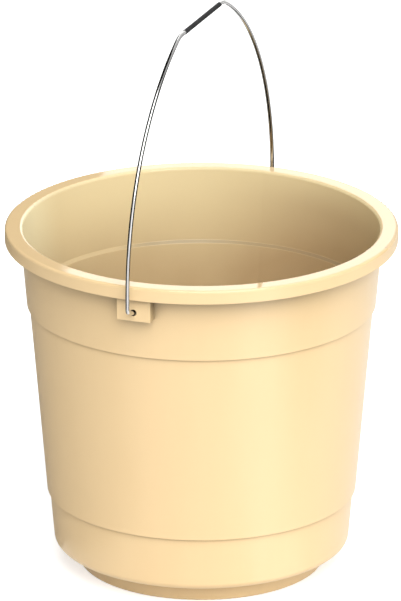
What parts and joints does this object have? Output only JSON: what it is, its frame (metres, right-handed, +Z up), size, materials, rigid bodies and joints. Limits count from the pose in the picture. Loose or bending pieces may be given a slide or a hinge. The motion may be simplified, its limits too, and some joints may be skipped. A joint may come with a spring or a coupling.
{
  "type": "plastic bucket",
  "caption": "Tapered round plastic bucket with a flanged rim, stepped wall and foot ring, carried by a hooked wire bail that swings in two lugs under a turning grip sleeve.",
  "frame": {"origin": "centre of the foot ring's underside, on the surface that the bucket stands on", "axes": "+Z up along the bucket's axis, X through both lugs and along the bail's pivot, Y square to the bail"},
  "size_m": [0.3062, 0.29, 0.4224],
  "materials": {
    "bucket_plastic": "smooth moulded polypropylene, satin to gloss, cream beige",
    "bail_wire": "bright plated drawn steel wire",
    "grip_tube": "black soft plastic tube, satin"
  },
  "bodies": {
    "bucket": {"bucket_body": "bucket_plastic"},
    "bail": {"wire_bail": "bail_wire"},
    "grip": {"grip_sleeve": "grip_tube"}
  },
  "joints": [
    {"name": "bail_swing", "type": "hinge", "parent": "bucket", "child": "bail", "pos_m": [0, 0, 0.2393], "axis": [1, 0, 0], "range_deg": [-137, 137]},
    {"name": "grip_spin", "type": "hinge", "parent": "bail", "child": "grip", "pos_m": [0.0014, 0, 0.4206], "axis": [1, 0, 0], "continuous": true}
  ]
}
